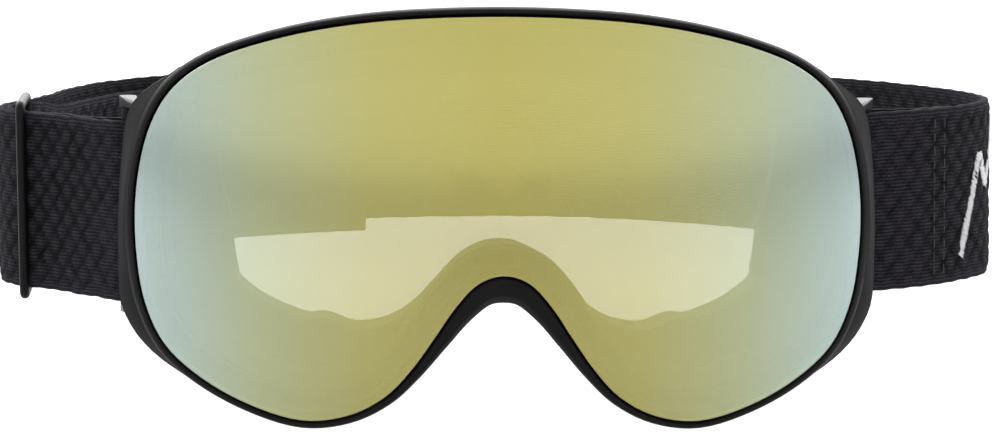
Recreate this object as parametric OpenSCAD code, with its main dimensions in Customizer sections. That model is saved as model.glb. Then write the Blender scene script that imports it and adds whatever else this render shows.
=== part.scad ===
// Ski goggles: a soft moulded frame with side outriggers, a double toric lens on a
// magnetic carrier, layered face foam, vent foams and an elastic strap with a slide ring.
// Millimetres. +X is the wearer's left, -Y is the way the wearer looks, +Z is up.
// The origin is the centre of the face opening, on the surface that rests on the face.

/* [Lens] */
// Depth from the face seal to the front of the lens, at the centre
lens_depth = 45; // [40:1:50]
// Horizontal radius of the lens
lens_radius_h = 112; // [106:1:130]
// Vertical radius of the lens
lens_radius_v = 220; // [160:10:400]
// Thickness of the outer lens
outer_lens_t = 1.6; // [1.2:0.1:2]
// Thickness of the inner lens
inner_lens_t = 1; // [0.8:0.1:1.2]
// Thickness of the foam spacer between the two lenses
spacer_t = 3; // [2.5:0.5:3.5]

/* [Frame] */
// Width of the rim around the lens, away from the nose
rim_w = 2.1; // [1.8:0.1:2.6]
// Extra width of the rim over the nose
nose_band = 4.6; // [3.5:0.1:5.2]
// Thickness of the frame's walls
wall_t = 1.8; // [1.5:0.1:2.4]
// Gap between the lens edge and the rim
lens_gap = 0.5; // [0.4:0.1:0.7]
// Radius of the plan curve of the face side
face_radius = 140; // [130:5:170]
// Length of each vent slot
slot_len = 10; // [8:0.5:11]

/* [Foam] */
// Thickness of all the face foam layers together
foam_t = 16; // [14:1:18]
// Width of the face foam
foam_w = 13; // [11:1:14]
// Thickness of the fleece on the face side
fleece_t = 1.4; // [1:0.1:2]

/* [Strap] */
// Width of the webbing
strap_w = 42.5; // [40:0.5:43]
// Thickness of the webbing
strap_t = 1.7; // [1.4:0.1:1.8]
// Radius of the bars that the strap loops around
bar_r = 1.5; // [1.3:0.1:1.6]
// Wire radius of the slide ring
ring_r = 1.2; // [1:0.1:1.3]

/* [Hidden] */
// Lens edge, from the top centre down the wearer's left side to the nose (x, z)
lens_half = [
  [0, 48.2], [15, 47.8], [29.5, 46.6], [43.5, 44.2], [56.5, 40.6], [67, 36.2],
  [75, 30.2], [80, 22.6], [83, 13.4], [84.5, 2.5], [84.3, -9], [82.3, -20.5],
  [77.4, -30], [68.6, -36.8], [57.4, -41.8], [45.5, -44.4], [35, -42.6],
  [26.6, -37.8], [20.6, -31.2], [15.6, -23.9], [10.8, -16.6], [5.8, -11.2], [0, -9.3]
];
half_n = len(lens_half);
// The other side mirrors the first, without repeating the two points on the centre line
lens_points = concat(
  lens_half,
  [for (i = [half_n - 2 : -1 : 1]) [-lens_half[i][0], lens_half[i][1]]]
);
point_n = len(lens_points);
// Stations between two outline points
sub_n = 2;
station_n = point_n * sub_n;

// Catmull-Rom value between b and c at t, with neighbours a and d
function spline(a, b, c, d, t) =
  0.5 * (2 * b + (c - a) * t + (2 * a - 5 * b + 4 * c - d) * t * t
         + (3 * b - a - 3 * c + d) * t * t * t);
function outline_point(k) = lens_points[(k + point_n) % point_n];
function edge(i) =
  let (k = floor(i / sub_n), t = i / sub_n - k)
  spline(outline_point(k - 1), outline_point(k), outline_point(k + 1), outline_point(k + 2), t);
function unit(v) = v / norm(v);
// Outward direction of the lens edge at a station
function outward(i) =
  let (t = unit(edge((i + 0.5) % station_n) - edge((i - 0.5 + station_n) % station_n)))
  [-t[1], t[0]];

// Depth of a round curve of radius r at distance a from its middle
function sag(a, r) = r - sqrt(r * r - a * a);
// Front surface of the outer lens
function lens_y(p) = -lens_depth + sag(p[0], lens_radius_h) + sag(p[1], lens_radius_v);
// Surface that rests on the face
function face_y(p) = sag(p[0], face_radius) - 3 * nose_share(p);
// 1 at the nose, falling to 0 away from it
function nose_share(p) = p[1] > 6 ? 0 : exp(-pow(p[0] / 15, 2)) * min(1, (6 - p[1]) / 10);
// 1 at the two sides of the frame, falling to 0 at the top and bottom
function side_share(p) = pow(max(0, (abs(p[0]) - 55) / 30), 2);

function rim_width(p) = rim_w + nose_band * nose_share(p) + 0.8 * side_share(p);
// 1 over the bridge and its two shoulders, falling to 0 towards the cheeks and above the nose
function bridge_share(p, reach, power) =
  p[1] > 6 ? 0 : exp(-pow(abs(p[0]) / reach, power)) * min(1, (6 - p[1]) / 10);
// 1 along the brow, falling to 0 at the widest part of the frame
function brow_share(p, low, high) = min(1, max(0, (p[1] - low) / (high - low)));
// Offset of the frame's outer wall where it meets the foam
function back_outer(p) = -5.5 + 7 * bridge_share(p, 22, 4) + 3 * brow_share(p, 8, 34);
// Offset of the edge of the face opening
function back_inner(p) =
  -foam_w - 7.5 + 16.2 * bridge_share(p, 24, 5) + 7.5 * brow_share(p, -4, 28) - 1.5 * side_share(p);
// Y of the frame's back face, where the foam is glued on
function back_y(p) = face_y(p) - foam_t;

// Point at offset o outside the lens edge and depth d behind the lens surface there
function at_depth(i, o, d) =
  let (q = edge(i) + o * outward(i))
  [q[0], lens_y(q) + d, q[1]];
// The same, with the depth taken at the lens edge
function at_edge_depth(i, o, d) =
  let (p = edge(i), q = p + o * outward(i))
  [q[0], lens_y(p) + d, q[1]];
// Point at offset o outside the lens edge at a given y
function at_y(i, o, y) =
  let (q = edge(i) + o * outward(i))
  [q[0], y, q[1]];

// Closed ring through the sections of all stations. Where two rings lie on each other, one of
// them is crossed, so that the facing sides are split into triangles the same way.
module loop_ring(sections, crossed = false) {
  m = len(sections[0]);
  n = len(sections);
  polyhedron(
    points = [for (s = sections) for (q = s) q],
    faces = [
      for (i = [0 : n - 1])
        for (j = [0 : m - 1])
          let (a = i * m + j, b = i * m + (j + 1) % m, c = ((i + 1) % n) * m + (j + 1) % m,
               d = ((i + 1) % n) * m + j)
            each crossed ? [[a, b, d], [b, c, d]] : [[a, b, c], [a, c, d]]
    ],
    convexity = 10
  );
}

// Shares of the way from the middle to the edge, where a lens has rings of points
lens_rings = [0.3, 0.58, 0.8, 0.93, 1];
lens_middle = [0, 8];

// A lens: o is the offset of its edge, d its depth behind the outer front, t its thickness
module lens_shell(o, d, t) {
  n = station_n;
  r = len(lens_rings);
  rim = [for (i = [0 : n - 1]) edge(i) + o * outward(i)];
  grid = [for (f = lens_rings) for (p = rim) lens_middle + f * (p - lens_middle)];
  front = [for (p = grid) [p[0], lens_y(p) + d, p[1]]];
  back = [for (p = grid) [p[0], lens_y(p) + d + t, p[1]]];
  mid_y = lens_y(lens_middle) + d;
  mid_front = [lens_middle[0], mid_y, lens_middle[1]];
  mid_back = [lens_middle[0], mid_y + t, lens_middle[1]];
  half = n * r;
  polyhedron(
    points = concat(front, back, [mid_front, mid_back]),
    faces = concat(
      [for (i = [0 : n - 1]) [i, (i + 1) % n, 2 * half]],
      [for (i = [0 : n - 1]) [half + (i + 1) % n, half + i, 2 * half + 1]],
      [
        for (k = [0 : r - 2])
          for (i = [0 : n - 1])
            let (a = k * n + i, b = k * n + (i + 1) % n)
              each [[a, b + n, b], [a, a + n, b + n],
                    [half + a, half + b, half + b + n], [half + a, half + b + n, half + a + n]]
      ],
      [
        for (i = [0 : n - 1])
          let (a = (r - 1) * n + i, b = (r - 1) * n + (i + 1) % n)
            each [[a, half + b, b], [a, half + a, half + b]]
      ]
    ),
    convexity = 8
  );
}

// Depths behind the lens front
bond_gap = 0.2;
spacer_d = outer_lens_t + bond_gap;
inner_d = spacer_d + spacer_t + bond_gap;
flange_d = inner_d + inner_lens_t + bond_gap;
carrier_back_d = flange_d + 1.4;
shelf_d = carrier_back_d + 0.4;
// Thickness of the shelf that the carrier rests on, and the offset of its inner edge
shelf_t = 1.5;
shelf_o = -6.6;

// Stations that carry a magnet pair, and the disc's radius and offset
magnet_stations = [3, 9, 28, station_n - 28, station_n - 9, station_n - 3];
magnet_r = 1.6;
magnet_o = -4.2;
magnet_t = 0.9;

// Stations of the vent slots along the top and along the bottom of each lobe
top_vents = [-6, -4, -2, 0, 2, 4, 6];
bottom_vents = [28, 30, 32];
vent_foam_t = 2.4;

// The two corners of the wall's inner face: behind the shelf and at the foam flange
function wall_front(i) =
  let (p = edge(i))
  at_edge_depth(i, rim_width(p) - 0.7 - wall_t, shelf_d + shelf_t + 0.2);
function wall_back(i) =
  let (p = edge(i))
  at_y(i, back_outer(p) - wall_t - 0.3, back_y(p) - wall_t);
// Point on the wall's inner face, a share f of the way back, moved inward by h
function wall_point(i, f, h) =
  let (a = wall_front(i), b = wall_back(i), n = outward(i), q = a + f * (b - a))
  [q[0] - h * n[0], q[1], q[2] - h * n[1]];

module frame_ring() {
  loop_ring([
    for (i = [0 : station_n - 1])
      let (p = edge(i), w = rim_width(p), bo = back_outer(p), bi = back_inner(p),
           yb = back_y(p), g = nose_share(p))
        [
          at_depth(i, lens_gap, shelf_d),
          at_depth(i, lens_gap, 1),
          at_depth(i, lens_gap + 0.4, 0.2),
          at_depth(i, w * 0.7, 0.1 + 1.2 * g),
          at_depth(i, w, 1.2 + 2.6 * g),
          at_edge_depth(i, w - 0.1, 5 + 0.6 * side_share(p)),
          at_edge_depth(i, w - 0.4, shelf_d + shelf_t - 0.2),
          at_y(i, bo, yb - 1.6),
          at_y(i, bo - 0.4, yb),
          at_y(i, bi, yb),
          at_y(i, bi, yb - wall_t),
          wall_back(i),
          wall_front(i),
          at_depth(i, shelf_o, shelf_d + shelf_t),
          at_depth(i, shelf_o, shelf_d)
        ]
  ], crossed = true);
}

// A disc square to the lens surface, at the magnets' offset: its front is moved back by
// shift from depth d
module magnet_disc(i, d, shift, r, t) {
  q = at_depth((i + station_n) % station_n, magnet_o, d);
  translate(q)
    rotate([0, 0, asin(q[0] / lens_radius_h)])
      rotate([-90 - asin(q[2] / lens_radius_v), 0, 0])
        translate([0, 0, shift])
          cylinder(h = t, r = r, $fn = 32);
}

// A slot through the wall at a station, along the lens edge
module vent_cut(i) {
  j = (i + station_n) % station_n;
  q = wall_point(j, 0.5, 0);
  n = outward(j);
  translate(q)
    rotate([0, -atan2(n[1], n[0]), 0])
      cube([14, 5.4, slot_len], center = true);
}

// Frame: ring and wall, with its vents and magnet pockets
module frame() {
  color([0.09, 0.09, 0.1])
    difference() {
      frame_ring();
      for (i = top_vents)
        vent_cut(i);
      for (i = bottom_vents, side = [1, -1])
        vent_cut(side * i);
      for (i = magnet_stations)
        magnet_disc(i, shelf_d, -0.5, magnet_r + 0.05, magnet_t + 0.5);
    }
}

module frame_magnets() {
  color([0.55, 0.56, 0.58])
    for (i = magnet_stations)
      magnet_disc(i, shelf_d, 0, magnet_r, magnet_t - 0.05);
}

module carrier_magnets() {
  color([0.55, 0.56, 0.58])
    for (i = magnet_stations)
      magnet_disc(i, carrier_back_d, -magnet_t, magnet_r, magnet_t - 0.05);
}

module outer_lens() {
  color([0.78, 0.72, 0.4, 0.7])
    lens_shell(0, 0, outer_lens_t);
}

module inner_lens() {
  color([0.85, 0.86, 0.84, 0.4])
    lens_shell(-2.2, inner_d, inner_lens_t);
}

module lens_spacer() {
  color([0.06, 0.06, 0.06])
    loop_ring([
      for (i = [0 : station_n - 1])
        [
          at_depth(i, -2.4, spacer_d),
          at_depth(i, -2.4, spacer_d + spacer_t),
          at_depth(i, -6.2, spacer_d + spacer_t),
          at_depth(i, -6.2, spacer_d)
        ]
    ]);
}

module lens_carrier() {
  color([0.07, 0.07, 0.08])
    difference() {
      loop_ring([
        for (i = [0 : station_n - 1])
          [
            at_depth(i, -0.5, spacer_d),
            at_depth(i, -0.5, carrier_back_d),
            at_depth(i, -6.6, carrier_back_d),
            at_depth(i, -6.6, flange_d),
            at_depth(i, -1.9, flange_d),
            at_depth(i, -1.9, spacer_d)
          ]
      ]);
      for (i = magnet_stations)
        magnet_disc(i, carrier_back_d, -magnet_t - 0.05, magnet_r + 0.05, magnet_t + 1.5);
    }
}

// One layer of face foam, between depths a and b behind the flange, with its edges
// drawn in by e
module foam_layer(a, b, e, corner, crossed) {
  loop_ring([
    for (i = [0 : station_n - 1])
      let (p = edge(i), y = back_y(p), o = back_outer(p) - 0.6 - e,
           c = back_inner(p) + 0.5 + e)
        [
          at_y(i, o, y + a),
          at_y(i, o, y + b - corner),
          at_y(i, o - corner, y + b),
          at_y(i, c + corner, y + b),
          at_y(i, c, y + b - corner),
          at_y(i, c, y + a)
        ]
  ], crossed = crossed);
}

foam_split = foam_t * 0.58;
// Room for the glue between two layers
glue_gap = 0.2;

module foam_base() {
  color([0.08, 0.08, 0.085])
    foam_layer(glue_gap, foam_split, 0, 0.6, false);
}

module foam_mid() {
  color([0.11, 0.11, 0.115])
    foam_layer(foam_split + glue_gap, foam_t - fleece_t, 0.3, 0.6, true);
}

module foam_fleece() {
  color([0.05, 0.05, 0.055])
    foam_layer(foam_t - fleece_t + glue_gap, foam_t, 0.7, 0.5, false);
}

// Strip through the sections of part of the loop, closed at both ends
module open_strip(sections) {
  m = len(sections[0]);
  n = len(sections);
  polyhedron(
    points = [for (s = sections) for (q = s) q],
    faces = concat(
      [
        for (i = [0 : n - 2])
          for (j = [0 : m - 1])
            let (a = i * m + j, b = i * m + (j + 1) % m)
              each [[a, b, b + m], [a, b + m, a + m]]
      ],
      [for (j = [1 : m - 2]) [0, j + 1, j]],
      [for (j = [1 : m - 2]) [(n - 1) * m, (n - 1) * m + j, (n - 1) * m + j + 1]]
    ),
    convexity = 8
  );
}

// Vent foam on the wall's inner face, from station a to station b
module vent_foam(a, b) {
  open_strip([
    for (k = [a : b])
      let (i = (k + station_n) % station_n)
        [
          wall_point(i, 0.12, 0.15),
          wall_point(i, 0.88, 0.15),
          wall_point(i, 0.88, 0.15 + vent_foam_t),
          wall_point(i, 0.12, 0.15 + vent_foam_t)
        ]
  ]);
}

module vent_foam_top() {
  color([0.1, 0.1, 0.1])
    vent_foam(-7, 7);
}

module vent_foam_left() {
  color([0.1, 0.1, 0.1])
    vent_foam(27, 33);
}

module vent_foam_right() {
  color([0.1, 0.1, 0.1])
    vent_foam(-33, -27);
}

// Strap bars: place, and the height of the two ends
bar_x = 87.2;
bar_y = 10.2;
bar_top = 24.6;
bar_bottom = -24.1;
// Round boss at each end of a bar, and the point of the wing that its arm reaches
boss_r = 2;
boss_h = 2.6;
top_root = [84.1, -0.5, 24.2];
bottom_root = [85.3, -0.5, -23.9];
root_r = 1;

// Wing beside the lens: how far it stands out and the Y of its outer edge, station by station
wing_first = 11;
wing_reach = [2.4, 2.8, 4.4, 6, 5.8, 5.1, 4.6, 4.4, 4.5, 4.8, 5.5, 6.3, 5.7, 4.4, 3.1, 2.4];
wing_y = [-14, -9.5, -4.5, -1, 0.3, 0.7, 0.8, 0.8, 0.8, 0.8, 0.7, 0, -2, -5, -9.5, -14];
wing_t = 2;
// Bond line between the wing and the frame's wall, and how far past the rim a wing's edge stays
wing_bond = 0.1;
wing_past = 0.9;

// Gusset from the end of a bar to the wing
module outrigger_arm(z, root) {
  hull() {
    translate([bar_x, bar_y, z - boss_h / 2])
      cylinder(h = boss_h, r = boss_r, $fn = 24);
    translate(root)
      sphere(r = root_r, $fn = 20);
  }
}

module wing() {
  open_strip([
    for (k = [0 : len(wing_reach) - 1])
      let (
        i = wing_first + k,
        p = edge(i),
        w = rim_width(p) + wing_bond,
        o = max(wing_reach[k], w + wing_past),
        y = wing_y[k]
      )
        [
          at_edge_depth(i, w - 0.1, 5 + 0.6 * side_share(p)),
          at_y(i, o - 0.7, y),
          at_y(i, o, y + 0.6),
          at_y(i, o, y + wing_t - 0.6),
          at_y(i, o - 0.7, y + wing_t),
          at_edge_depth(i, w - 0.4, shelf_d + shelf_t - 0.2)
        ]
  ]);
}

// Outrigger: a wing seated in the frame, and behind it a bar for the strap on two arms
module outrigger() {
  color([0.12, 0.12, 0.13]) {
    wing();
    translate([bar_x, bar_y, bar_bottom])
      cylinder(h = bar_top - bar_bottom, r = bar_r, $fn = 32);
    outrigger_arm(bar_top, top_root);
    outrigger_arm(bar_bottom, bottom_root);
  }
}

module outrigger_left() {
  outrigger();
}

module outrigger_right() {
  mirror([1, 0, 0])
    outrigger();
}

// Middle line of the strap in plan. Each loop turns around its bar at loop_r.
loop_r = 3.9;
// Angle of the strap's tangent points on a bar
loop_angle = 49.5;
// Bend that the slide ring rides on: its middle, and the radius of each layer
bend = [-96.8, 50];
bend_outer_r = 24;
bend_inner_r = 22;
bend_front = -56;
bend_back = 38;

function around(c, r, a) = [c[0] + r * cos(a), c[1] + r * sin(a)];
function on_bend(r, a) = [bend[0] - r * cos(a), bend[1] + r * sin(a)];
// Smooth line through hand-set points, with n steps from one to the next
function smooth(pts, n) =
  let (m = len(pts))
  [
    for (k = [0 : m - 2])
      for (t = [0 : n - 1])
        spline(pts[max(k - 1, 0)], pts[k], pts[k + 1], pts[min(k + 2, m - 1)], t / n)
  ];

sewn_bar = [bar_x, bar_y];
slide_bar = [-bar_x, bar_y];
// Sewn end of the strap, from its cut edge to its bar on +X
sewn_end = [
  [108.8, 22.2], [105.6, 19.4], [101.9, 17.5], [96.8, 16.4], [91.8, 15.7],
  around(sewn_bar, loop_r, 180 - loop_angle)
];
// Free run from that bar around the back of the head to the bend on -X
free_run = [
  around(sewn_bar, loop_r, -loop_angle),
  [99.5, 12.4], [107.2, 18.2], [114, 25.2], [119.6, 34], [121.8, 44], [120.4, 55.5],
  [116.6, 67], [110, 80.5], [100.5, 95], [88, 110.5], [70, 129.5], [48, 146.5],
  [24, 158], [0, 162], [-24, 161], [-48, 155.5], [-70, 146], [-86, 135], [-97.5, 122],
  [-104.5, 108], [-108.6, 94], [-111.4, 80], on_bend(bend_outer_r, bend_back)
];
// From the bend forward to the other bar, and back from it inside the first layer
front_run = [
  on_bend(bend_outer_r, bend_front),
  [-105.4, 25.6], [-98.4, 17.4],
  around(slide_bar, loop_r, 180 + loop_angle)
];
return_run = [
  around(slide_bar, loop_r, loop_angle),
  [-91.2, 15.6], [-97, 20.2], [-104, 27.6],
  on_bend(bend_inner_r, bend_front)
];
// Tail of the strap, from the bend to its cut end on the inside of the back
tail_run = [
  on_bend(bend_inner_r, bend_back),
  [-109.2, 80.6], [-105.2, 93.4], [-101, 106.4], [-94.4, 119.6], [-83.8, 132.2],
  [-68.6, 143.4], [-47.2, 153], [-32, 156.8]
];

step = 3;
main_line = concat(
  smooth(sewn_end, step),
  [for (a = [180 - loop_angle : 20 : 340 - loop_angle]) around(sewn_bar, loop_r, a)],
  smooth(free_run, step),
  [for (a = [bend_back : -8 : bend_front + 8]) on_bend(bend_outer_r, a)],
  smooth(front_run, step),
  [for (a = [180 + loop_angle : 20 : 340 + loop_angle]) around(slide_bar, loop_r, a)],
  smooth(return_run, step),
  [for (a = [bend_front : 8 : bend_back]) on_bend(bend_inner_r, a)]
);
tail_line = concat(
  [on_bend(bend_inner_r, bend_back - 8)],
  smooth(tail_run, step),
  [tail_run[len(tail_run) - 1]]
);
// The tail hangs a little lower than the run it lies on, a step at a time
tail_drop = 1;
tail_parts = 3;

// Normal of a line at point k, to the right of its direction
function side_of(line, k) =
  let (d = unit(line[min(k + 1, len(line) - 1)] - line[max(k - 1, 0)]))
  [d[1], -d[0]];

// Webbing along part of a line, between two heights
module webbing(line, first, last, low, high) {
  translate([0, 0, low])
    linear_extrude(height = high - low)
      polygon(concat(
        [for (k = [first : last]) line[k] + strap_t / 2 * side_of(line, k)],
        [for (k = [last : -1 : first]) line[k] - strap_t / 2 * side_of(line, k)]
      ));
}

// The whole strap sits a little high and leans sideways in its slots
strap_rise = 0.2;
strap_lean = 0.85;
module on_strap() {
  translate([0, 0, strap_rise])
    rotate([0, -strap_lean, 0])
      children();
}

module strap() {
  tail_n = len(tail_line) - 1;
  color([0.12, 0.115, 0.13])
    on_strap() {
      webbing(main_line, 0, len(main_line) - 1, -strap_w / 2, strap_w / 2);
      for (k = [1 : tail_parts]) {
        drop = k * tail_drop;
        webbing(tail_line, k - 1, k < tail_parts ? k + 1 : tail_n, -strap_w / 2 - drop, strap_w / 2 - drop);
      }
    }
}

// Length along the free run, measured from its start at the bar
run_line = smooth(free_run, step);
function reach(k) = k == 0 ? 0 : reach(k - 1) + norm(run_line[k] - run_line[k - 1]);
run_reach = [for (k = [0 : 24]) reach(k)];
// Point at length s along the run and height z, with h above the outer face
function on_face(s, z, h) =
  let (k = len([for (r = run_reach) if (r <= s) 1]) - 1,
       d = unit(run_line[k + 1] - run_line[k]),
       p = run_line[k] + (s - run_reach[k]) * d,
       q = p + (strap_t / 2 + h) * [d[1], -d[0]])
  [q[0], q[1], z];

// Ridge line of three peaks, as (length along the strap, height)
ridge = [[27, -15], [36, 9], [40, 1], [48.5, 16], [56, 1], [60, 8], [69, -15]];
ridge_w = 3;
ridge_h = 0.6;
ridge_steps = 6;
function ridge_point(k) =
  let (a = floor(k / ridge_steps), f = k / ridge_steps - a)
  a >= len(ridge) - 1 ? ridge[len(ridge) - 1] : ridge[a] + f * (ridge[a + 1] - ridge[a]);
// Direction across the ridge line, longer at its corners so that the band keeps its width
function ridge_side(k) =
  let (m = ridge_steps * (len(ridge) - 1),
       u = unit(ridge_point(min(k + 1, m)) - ridge_point(max(k - 1, 0))),
       v = unit(ridge_point(min(k + 1, m)) - ridge_point(max(min(k, m - 1), 0))))
  [u[1], -u[0]] / (u * v);

module embroidery() {
  color([0.95, 0.95, 0.96])
    on_strap()
      open_strip([
        for (k = [0 : ridge_steps * (len(ridge) - 1)])
          let (p = ridge_point(k), e = ridge_w / 2 * ridge_side(k), a = p + e, b = p - e)
            [
              on_face(a[0], a[1], 0.1),
              on_face(a[0], a[1], ridge_h),
              on_face(b[0], b[1], ridge_h),
              on_face(b[0], b[1], 0.1)
            ]
      ]);
}

thread_len = 2.4;
thread_pitch = 3.2;
thread_w = 0.5;
// Column of stitches across the webbing at point p, facing along n
module stitch_column(p, n, drop) {
  count = floor((strap_w - 5) / thread_pitch);
  for (k = [0 : count])
    translate([p[0], p[1], (k - count / 2) * thread_pitch - drop])
      rotate([0, 0, atan2(n[1], n[0])])
        cube([0.5, thread_w, thread_len], center = true);
}

// Stitches that close the loop around the bar on +X
module stitches_loop() {
  color([0.2, 0.2, 0.22])
    on_strap()
      for (s = [17, 20.5]) {
        a = on_face(s, 0, 0.27);
        b = on_face(s + 0.5, 0, 0.27);
        d = unit([b[0] - a[0], b[1] - a[1]]);
        stitch_column(a, [d[1], -d[0]], 0);
      }
}

// Stitches along the cut end of the tail
module stitches_tail() {
  last = len(tail_line) - 1;
  n = side_of(tail_line, last);
  d = unit(tail_line[last - 1] - tail_line[last]);
  color([0.2, 0.2, 0.22])
    on_strap()
      for (s = [2.5, 5])
        stitch_column(tail_line[last] + s * d + (strap_t / 2 + 0.27) * n, n, tail_parts * tail_drop);
}

// Round rod between two points
module rod(a, b, r) {
  d = b - a;
  translate(a)
    rotate([0, acos(d[2] / norm(d)), atan2(d[1], d[0])])
      cylinder(h = norm(d), r = r, $fn = 32);
}

// Slide ring: a near bar outside the webbing and a far bar inside it
ring_near_r = bend_outer_r + strap_t / 2 + 0.35 + ring_r;
ring_far_r = bend_inner_r - strap_t / 2 - 0.35 - ring_r;
ring_near_a = -49;
ring_far_a = 20;
ring_half = 23;

module slide_ring() {
  near = on_bend(ring_near_r, ring_near_a);
  far = on_bend(ring_far_r, ring_far_a);
  color([0.1, 0.1, 0.11])
    on_strap() {
      for (p = [near, far])
        translate([p[0], p[1], -ring_half - ring_r])
          cylinder(h = 2 * (ring_half + ring_r), r = ring_r, $fn = 32);
      for (z = [-ring_half, ring_half])
        rod([near[0], near[1], z], [far[0], far[1], z], 0.9 * ring_r);
    }
}

frame();
frame_magnets();
outrigger_left();
outrigger_right();
vent_foam_top();
vent_foam_left();
vent_foam_right();
foam_base();
foam_mid();
foam_fleece();
outer_lens();
lens_spacer();
inner_lens();
lens_carrier();
carrier_magnets();
strap();
stitches_loop();
stitches_tail();
embroidery();
slide_ring();
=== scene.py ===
import bpy
import bmesh
import math
import random
from mathutils import Matrix, Vector, noise


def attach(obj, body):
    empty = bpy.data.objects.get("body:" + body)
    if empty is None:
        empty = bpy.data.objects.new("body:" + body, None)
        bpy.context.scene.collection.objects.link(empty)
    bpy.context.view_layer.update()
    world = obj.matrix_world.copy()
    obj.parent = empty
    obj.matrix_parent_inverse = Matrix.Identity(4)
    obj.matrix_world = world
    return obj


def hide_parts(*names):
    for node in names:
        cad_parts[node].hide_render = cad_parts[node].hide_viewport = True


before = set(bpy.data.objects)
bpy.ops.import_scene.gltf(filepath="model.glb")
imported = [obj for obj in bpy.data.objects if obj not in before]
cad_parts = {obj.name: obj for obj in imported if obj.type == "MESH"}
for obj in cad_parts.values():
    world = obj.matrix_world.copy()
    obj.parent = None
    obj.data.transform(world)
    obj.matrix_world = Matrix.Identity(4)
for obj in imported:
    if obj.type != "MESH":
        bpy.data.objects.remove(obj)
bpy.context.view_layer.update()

mm = 0.001
scene = bpy.context.scene
random.seed(7)
print("goggles: frame loaded,", len(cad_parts), "parts")


def finishMesh(bm, name, body, mat, smooth=True, slot=None, sharp=None):
    mesh = bpy.data.meshes.new(name)
    bm.to_mesh(mesh)
    bm.free()
    piece = bpy.data.objects.new(name, mesh)
    scene.collection.objects.link(piece)
    for poly in mesh.polygons:
        poly.use_smooth = smooth
    if sharp:
        mesh.set_sharp_from_angle(angle=math.radians(sharp))
    mesh.materials.append(mat)
    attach(piece, body)
    return piece


def blend01(a, b, x):
    t = min(1.0, max(0.0, (x - a) / (b - a)))
    return t * t * (3 - 2 * t)


goggle = {
    "depth": 45.0,         # face seal to lens front
    "radiusH": 112.0,
    "radiusV": 220.0,
    "faceRadius": 140.0,
    "foam": 16.0,
    "foamWidth": 13.0,
    "rim": 2.1,
    "noseBand": 4.6,
    "wall": 1.8,
    "shelf": 8.0,
    "shelfThick": 1.5,
    "shelfEdge": -6.6,
    "perPoint": 5,         # steps between two outline points
}
edgeHalf = [
    (0, 48.2), (15, 47.8), (29.5, 46.6), (43.5, 44.2), (56.5, 40.6), (67, 36.2),
    (75, 30.2), (80, 22.6), (83, 13.4), (84.5, 2.5), (84.3, -9), (82.3, -20.5),
    (77.4, -30), (68.6, -36.8), (57.4, -41.8), (45.5, -44.4), (35, -42.6),
    (26.6, -37.8), (20.6, -31.2), (15.6, -23.9), (10.8, -16.6), (5.8, -11.2), (0, -9.3),
]
edgeAll = edgeHalf + [(-x, z) for x, z in edgeHalf[-2:0:-1]]


def spline(a, b, c, d, t):
    return 0.5 * (2 * b + (c - a) * t + (2 * a - 5 * b + 4 * c - d) * t * t
                  + (3 * b - a - 3 * c + d) * t ** 3)


def edgeAt(u):
    n = len(edgeAll)
    k = int(math.floor(u))
    p = [Vector(edgeAll[(k + j) % n]) for j in (-1, 0, 1, 2)]
    return spline(p[0], p[1], p[2], p[3], u - k)


stationCount = len(edgeAll) * goggle["perPoint"]
edge, outward = [], []
for i in range(stationCount):
    u = i / goggle["perPoint"]
    t = (edgeAt(u + 0.25) - edgeAt(u - 0.25)).normalized()
    edge.append(edgeAt(u))
    outward.append(Vector((-t.y, t.x)))


def sag(a, r):
    return r - math.sqrt(r * r - a * a)


def lensY(p):
    return -goggle["depth"] + sag(p[0], goggle["radiusH"]) + sag(p[1], goggle["radiusV"])


def noseShare(p):
    return 0.0 if p[1] > 6 else math.exp(-(p[0] / 15) ** 2) * min(1, (6 - p[1]) / 10)


def sideShare(p):
    return max(0.0, (abs(p[0]) - 55) / 30) ** 2


def faceY(p):
    return sag(p[0], goggle["faceRadius"]) - 3 * noseShare(p)


def rimWidth(p):
    return goggle["rim"] + goggle["noseBand"] * noseShare(p) + 0.8 * sideShare(p)


def bridgeShare(p, reach, power):
    return 0.0 if p[1] > 6 else math.exp(-(abs(p[0]) / reach) ** power) * min(1, (6 - p[1]) / 10)


def browShare(p, low, high):
    return min(1.0, max(0.0, (p[1] - low) / (high - low)))


def backOuter(p):
    return -5.5 + 7 * bridgeShare(p, 22, 4) + 3 * browShare(p, 8, 34)


def backInner(p):
    return (-goggle["foamWidth"] - 7.5 + 16.2 * bridgeShare(p, 24, 5)
            + 7.5 * browShare(p, -4, 28) - 1.5 * sideShare(p))


def backY(p):
    return faceY(p) - goggle["foam"]


def atDepth(i, o, d):  # offset from the lens edge, depth behind the lens surface there
    q = edge[i] + o * outward[i]
    return Vector((q.x, lensY(q) + d, q.y)) * mm


def atEdgeDepth(i, o, d):  # depth taken at the lens edge
    q = edge[i] + o * outward[i]
    return Vector((q.x, lensY(edge[i]) + d, q.y)) * mm


def atY(i, o, y):
    q = edge[i] + o * outward[i]
    return Vector((q.x, y, q.y)) * mm


def startLoop(bm, place, stations, closed):
    station = bm.verts.layers.int.get("station") or bm.verts.layers.int.new("station")
    verts = []
    for i in stations:
        v = bm.verts.new(place(i))
        v[station] = i
        verts.append(v)
    pairs = list(zip(verts, verts[1:]))
    if closed:
        pairs.append((verts[-1], verts[0]))
    return [bm.edges.new(p) for p in pairs]


def extrudeLoop(bm, edges, place):
    station = bm.verts.layers.int.get("station")
    made = bmesh.ops.extrude_edge_only(bm, edges=edges)["geom"]
    for v in made:
        if isinstance(v, bmesh.types.BMVert):
            v.co = place(v[station])
    return [e for e in made if isinstance(e, bmesh.types.BMEdge)
            and all(len(v.link_faces) == 1 or e.is_boundary for v in e.verts)
            and e.is_boundary and e not in edges]


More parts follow.
